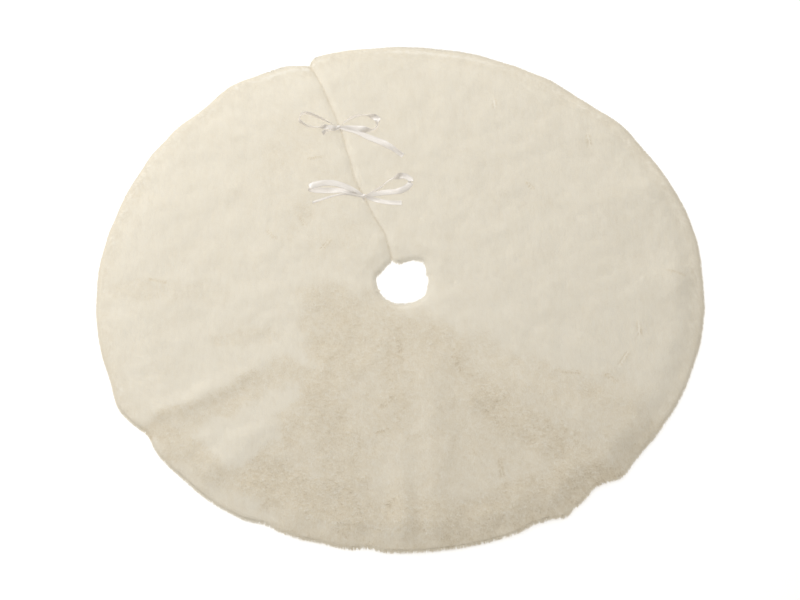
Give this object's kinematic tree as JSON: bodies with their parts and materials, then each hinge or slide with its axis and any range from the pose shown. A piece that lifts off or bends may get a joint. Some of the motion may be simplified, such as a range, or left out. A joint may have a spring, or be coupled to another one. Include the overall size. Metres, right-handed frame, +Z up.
{
  "type": "tree skirt",
  "caption": "Round plush tree skirt with a trunk hole and a slit from hole to rim, closed by ribbon bows; the cloth beside the slit folds back so that it goes round a trunk.",
  "frame": {"origin": "centre of the trunk hole, on the floor", "axes": "+Z up off the floor, +Y along the slit from the hole to the rim, +X to the right of the slit"},
  "size_m": [0.9, 0.8997, 0.0232],
  "materials": {
    "fur": "cream faux-fur plush, dense 10 mm pile, matt with a soft sheen",
    "lining": "plain-weave cream polyester",
    "ribbon": "white satin ribbon, glossy face",
    "thread": "twisted polyester sewing thread",
    "label": "white woven label tape, blank"
  },
  "bodies": {
    "skirt": {"fur_panel": "fur", "lining": "lining", "rim_seam": "thread", "hole_seam": "thread", "care_label": "label"},
    "left_flap": {"left_flap_fur": "fur", "left_flap_lining": "lining", "left_flap_seam": "thread", "outer_tie_left_ribbon": "ribbon", "outer_tie_left_tack": "thread", "inner_tie_left_ribbon": "ribbon", "inner_tie_left_tack": "thread"},
    "right_flap": {"right_flap_fur": "fur", "right_flap_lining": "lining", "right_flap_seam": "thread", "outer_tie_right_ribbon": "ribbon", "outer_tie_right_tack": "thread", "inner_tie_right_ribbon": "ribbon", "inner_tie_right_tack": "thread"}
  },
  "joints": [
    {"name": "left_flap_fold", "type": "hinge", "parent": "skirt", "child": "left_flap", "pos_m": [0, 0, 0.012], "axis": [0.7071, -0.7071, 0], "range_deg": [0, 150]},
    {"name": "right_flap_fold", "type": "hinge", "parent": "skirt", "child": "right_flap", "pos_m": [0, 0, 0.012], "axis": [0.7071, 0.7071, 0], "range_deg": [0, 150]}
  ]
}
